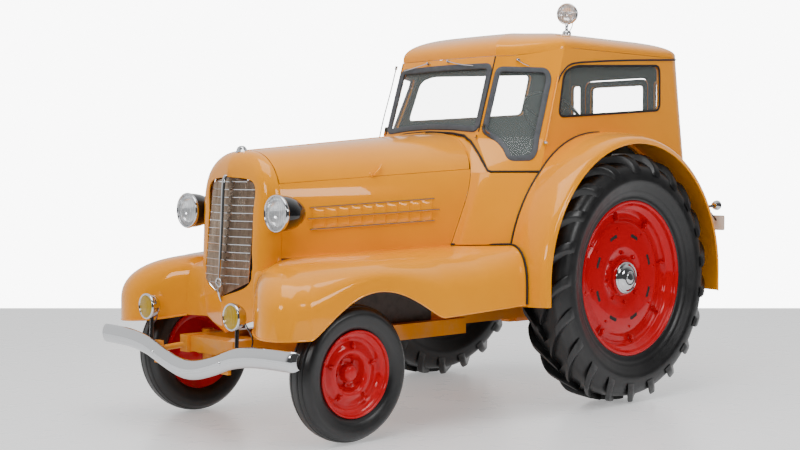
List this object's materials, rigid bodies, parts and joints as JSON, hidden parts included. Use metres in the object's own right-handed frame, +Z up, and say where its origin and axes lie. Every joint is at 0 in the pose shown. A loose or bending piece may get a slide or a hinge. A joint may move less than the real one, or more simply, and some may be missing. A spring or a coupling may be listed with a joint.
{
  "type": "vintage tractor",
  "caption": "1930s closed-cab farm tractor with streamlined hood and fenders, steered front wheels, hinged hood lids, rear door and turning wheels",
  "frame": {"origin": "middle of the tractor's box in plan, on the ground under the wheels", "axes": "+Z up, the nose towards -Y, the driver's left towards +X"},
  "size_m": [1.914, 3.5916, 2.4186],
  "materials": {
    "body": "high gloss enamel",
    "frame": "satin enamel",
    "wheel": "gloss enamel",
    "tyre": "matt rubber",
    "chrome": "polished plating",
    "black": "gloss enamel",
    "iron": "bare casting",
    "upholstery": "semi-matt hide",
    "lining": "flat paint",
    "glass": "clear flat glass"
  },
  "bodies": {
    "chassis": {"axle_case": "frame", "bumper": "chrome", "cab_front": "body", "cab_rear": "body", "cab_side_left": "body", "cab_side_right": "body", "cab_tub": "lining", "corner_glass_left": "glass", "corner_glass_right": "glass", "cowl": "body", "dashboard": "lining", "engine_block": "iron", "fog_lamp_left": "chrome", "fog_lamp_right": "chrome", "frame_rails": "frame", "front_axle": "frame", "front_fender_left": "body", "front_fender_right": "body", "grille": "chrome", "grille_shell": "body", "headlamp_left": "black", "headlamp_right": "black", "hood_side_left": "body", "hood_side_right": "body", "rear_fender_left": "body", "rear_fender_right": "body", "rear_glass_left": "glass", "rear_glass_right": "glass", "roof": "body", "seat_back": "upholstery", "seat_base": "black", "seat_cushion": "upholstery", "side_glass_left": "glass", "side_glass_right": "glass", "spot_lamp": "chrome", "windshield": "glass"},
    "knuckle_left": {"knuckle_left": "frame"},
    "knuckle_right": {"knuckle_right": "frame"},
    "tie_rod": {"tie_rod": "frame"},
    "front_wheel_left": {"front_tyre_left": "tyre", "front_wheel_left": "wheel"},
    "front_wheel_right": {"front_tyre_right": "tyre", "front_wheel_right": "wheel"},
    "rear_wheel_left": {"rear_tyre_left": "tyre", "rear_wheel_left": "wheel"},
    "rear_wheel_right": {"rear_tyre_right": "tyre", "rear_wheel_right": "wheel"},
    "hood_left": {"hood_top_left": "body"},
    "hood_right": {"hood_top_right": "body"},
    "rear_door": {"rear_door": "body", "door_glass": "glass"},
    "steering_wheel": {"steering_wheel": "black"}
  },
  "joints": [
    {"name": "steer_left", "type": "hinge", "parent": "chassis", "child": "knuckle_left", "pos_m": [0.545, -1.2528, 0.35434], "axis": [0, 0, 1], "range_deg": [-30, 30]},
    {"name": "steer_right", "type": "hinge", "parent": "chassis", "child": "knuckle_right", "pos_m": [-0.545, -1.2528, 0.35434], "axis": [0, 0, 1], "range_deg": [-30, 30]},
    {"name": "tie_rod_pivot", "type": "hinge", "parent": "knuckle_left", "child": "tie_rod", "pos_m": [0.525, -1.0928, 0.30434], "axis": [0, 0, 1], "range_deg": [-30, 30]},
    {"name": "steering_wheel_turn", "type": "hinge", "parent": "chassis", "child": "steering_wheel", "pos_m": [0.35, 0.6972, 1.69], "axis": [0, 0.76, 0.65], "range_deg": [-360, 360]},
    {"name": "front_spin_left", "type": "hinge", "parent": "knuckle_left", "child": "front_wheel_left", "pos_m": [0.672, -1.2528, 0.35434], "axis": [0.9995, 0, -0.0332], "continuous": true},
    {"name": "front_spin_right", "type": "hinge", "parent": "knuckle_right", "child": "front_wheel_right", "pos_m": [-0.672, -1.2528, 0.35434], "axis": [-0.9995, 0, -0.0332], "continuous": true},
    {"name": "rear_spin_left", "type": "hinge", "parent": "chassis", "child": "rear_wheel_left", "pos_m": [0.7885, 0.7762, 0.739], "axis": [1, 0, 0], "continuous": true},
    {"name": "rear_spin_right", "type": "hinge", "parent": "chassis", "child": "rear_wheel_right", "pos_m": [-0.7885, 0.7762, 0.739], "axis": [-1, 0, 0], "continuous": true},
    {"name": "hood_lid_left", "type": "hinge", "parent": "chassis", "child": "hood_left", "pos_m": [0, -1.3928, 1.487], "axis": [0, -0.9962, -0.0872], "range_deg": [0, 60]},
    {"name": "hood_lid_right", "type": "hinge", "parent": "chassis", "child": "hood_right", "pos_m": [0, -1.3928, 1.487], "axis": [0, 0.9962, 0.0872], "range_deg": [0, 60]},
    {"name": "rear_door_swing", "type": "hinge", "parent": "chassis", "child": "rear_door", "pos_m": [0.27, 1.7868, 1.4], "axis": [0, 0, -1], "range_deg": [0, 95]}
  ],
  "couplings": [
    {"joint": "steer_right", "follows": "steer_left", "ratio": 1},
    {"joint": "tie_rod_pivot", "follows": "steer_left", "ratio": -1},
    {"joint": "steering_wheel_turn", "follows": "steer_left", "ratio": 12}
  ]
}
